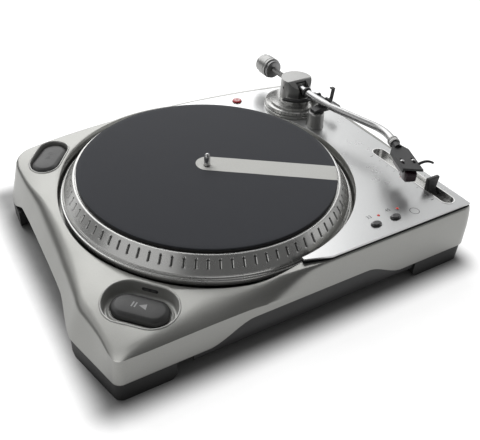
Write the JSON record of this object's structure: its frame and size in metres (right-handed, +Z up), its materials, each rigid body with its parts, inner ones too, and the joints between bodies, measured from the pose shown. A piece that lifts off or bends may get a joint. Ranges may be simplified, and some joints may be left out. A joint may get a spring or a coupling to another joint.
{
  "type": "turntable record player",
  "caption": "Record player with a round platter under a felt mat, an S-shaped tonearm, start buttons, speed buttons and a pitch fader on a sloping silver plinth.",
  "frame": {"origin": "centre of the footprint, on the surface that the feet stand on", "axes": "+X to the right, +Y to the back, +Z up"},
  "size_m": [0.4496, 0.362, 0.1258],
  "materials": {
    "silver_paint": "satin metallic paint",
    "deck_metal": "satin",
    "black_plastic": "matt",
    "black_gloss": "gloss",
    "dark_button": "gloss",
    "red_plastic": "gloss",
    "light_window": "gloss",
    "rubber": "matt",
    "cast_metal": "satin",
    "steel": "polished",
    "chrome": "satin chrome",
    "felt": "felt",
    "bronze": "plain",
    "magnet": "plain",
    "board": "plain"
  },
  "bodies": {
    "chassis": {"plinth_shell": "silver_paint", "plinth_skirt": "silver_paint", "deck_plate": "deck_metal", "deck_trim": "black_plastic", "base_tray": "black_plastic", "base_screws": "steel", "front_trim": "black_plastic", "feet": "rubber", "start_well_front": "silver_paint", "start_well_rear": "silver_paint", "button_switches": "black_plastic", "indicator_lights": "light_window", "control_board": "board", "fader_liner": "deck_metal", "fader_body": "black_plastic", "power_switch": "black_plastic", "motor_stator": "board", "bearing_housing": "cast_metal", "bearing_bush": "bronze", "thrust_pad": "black_plastic", "arm_base": "deck_metal", "arm_rest_pillar": "deck_metal", "arm_rest_cradle": "black_plastic", "socket_panel": "black_plastic", "phono_sockets": "chrome", "ground_terminal": "steel", "mains_inlet": "black_plastic", "main_board": "board", "transformer": "steel"},
    "turning_platter": {"platter": "cast_metal", "spindle": "steel", "rotor_magnet": "magnet", "rubber_mat": "rubber", "slipmat": "felt"},
    "front_start": {"start_button_front": "dark_button"},
    "rear_start": {"start_button_rear": "dark_button"},
    "slow_speed": {"speed_button_slow": "black_plastic"},
    "fast_speed": {"speed_button_fast": "black_plastic"},
    "power": {"power_button": "red_plastic"},
    "pitch": {"pitch_knob": "black_plastic"},
    "height_adjuster": {"height_ring": "cast_metal"},
    "column": {"arm_column": "cast_metal"},
    "lifter": {"cue_lifter": "black_plastic"},
    "lever": {"cue_lever": "black_plastic"},
    "anti_skate": {"anti_skate_knob": "black_plastic"},
    "yoke": {"gimbal_yoke": "cast_metal", "swing_shaft": "steel"},
    "arm": {"pivot_block": "cast_metal", "pivot_pin": "steel", "arm_tube": "chrome", "tube_ring": "black_plastic", "rear_shaft": "chrome", "headshell": "black_gloss", "finger_lift": "chrome", "cartridge": "black_gloss", "stylus": "black_gloss"},
    "collar": {"headshell_collar": "cast_metal"},
    "dial": {"force_dial": "cast_metal"},
    "weight": {"counterweight": "cast_metal"},
    "clip": {"arm_clip": "black_plastic"}
  },
  "joints": [
    {"name": "platter_spin", "type": "hinge", "parent": "chassis", "child": "turning_platter", "pos_m": [-0.014, 0.006, 0.085], "axis": [0, 0, 1], "continuous": true},
    {"name": "front_start_press", "type": "slide", "parent": "chassis", "child": "front_start", "axis": [0, 0, -1], "range_m": [0, 0.002], "stiffness_N_per_m": 300, "springref_m": -0.002},
    {"name": "rear_start_press", "type": "slide", "parent": "chassis", "child": "rear_start", "axis": [0, 0, -1], "range_m": [0, 0.002], "stiffness_N_per_m": 300, "springref_m": -0.002},
    {"name": "slow_speed_press", "type": "slide", "parent": "chassis", "child": "slow_speed", "axis": [0, 0, -1], "range_m": [0, 0.0012], "stiffness_N_per_m": 200, "springref_m": -0.0015},
    {"name": "fast_speed_press", "type": "slide", "parent": "chassis", "child": "fast_speed", "axis": [0, 0, -1], "range_m": [0, 0.0012], "stiffness_N_per_m": 200, "springref_m": -0.0015},
    {"name": "power_press", "type": "slide", "parent": "chassis", "child": "power", "axis": [0, 0, -1], "range_m": [0, 0.0018], "stiffness_N_per_m": 200, "springref_m": -0.0015},
    {"name": "pitch_slide", "type": "slide", "parent": "chassis", "child": "pitch", "axis": [0, 1, 0], "range_m": [-0.02, 0.08]},
    {"name": "height_turn", "type": "hinge", "parent": "chassis", "child": "height_adjuster", "pos_m": [0.173, 0.099, 0.083], "axis": [0, 0, 1], "range_deg": [0, 120.2]},
    {"name": "column_rise", "type": "slide", "parent": "chassis", "child": "column", "axis": [0, 0, 1], "range_m": [0, 0.006]},
    {"name": "cue_lever_turn", "type": "hinge", "parent": "column", "child": "lever", "pos_m": [0.20068, 0.08268, 0.0935], "axis": [-1, 0, 0], "range_deg": [0, 30]},
    {"name": "cue_rise", "type": "slide", "parent": "column", "child": "lifter", "axis": [0, 0, 1], "range_m": [0, 0.00221]},
    {"name": "anti_skate_turn", "type": "hinge", "parent": "column", "child": "anti_skate", "pos_m": [0.196, 0.115, 0.092], "axis": [0, 0, 1], "range_deg": [0, 270]},
    {"name": "arm_swing", "type": "hinge", "parent": "column", "child": "yoke", "pos_m": [0.173, 0.099, 0.108], "axis": [0, 0, -1], "range_deg": [0, 46]},
    {"name": "arm_lift", "type": "hinge", "parent": "yoke", "child": "arm", "pos_m": [0.173, 0.099, 0.108], "axis": [-1, 0, 0], "range_deg": [0, 10]},
    {"name": "collar_turn", "type": "hinge", "parent": "arm", "child": "collar", "pos_m": [0.18576, -0.07882, 0.108], "axis": [-0.3746, -0.9272, 0], "range_deg": [0, 60]},
    {"name": "counterweight_feed", "type": "slide", "parent": "arm", "child": "dial", "axis": [0, 1, 0], "range_m": [-0.0041, 0.0041]},
    {"name": "counterweight_turn", "type": "hinge", "parent": "dial", "child": "weight", "pos_m": [0.173, 0.167, 0.108], "axis": [0, 1, 0], "range_deg": [-720, 720]},
    {"name": "clip_close", "type": "hinge", "parent": "chassis", "child": "clip", "pos_m": [0.1828, 0.042, 0.1094], "axis": [0, -1, 0], "range_deg": [0, 95]}
  ],
  "couplings": [
    {"joint": "height_turn", "follows": "column_rise", "rad_per_m": 349.07},
    {"joint": "cue_rise", "follows": "cue_lever_turn", "m_per_rad": 0.0042017},
    {"joint": "counterweight_feed", "follows": "counterweight_turn", "m_per_rad": 0.00031831}
  ]
}
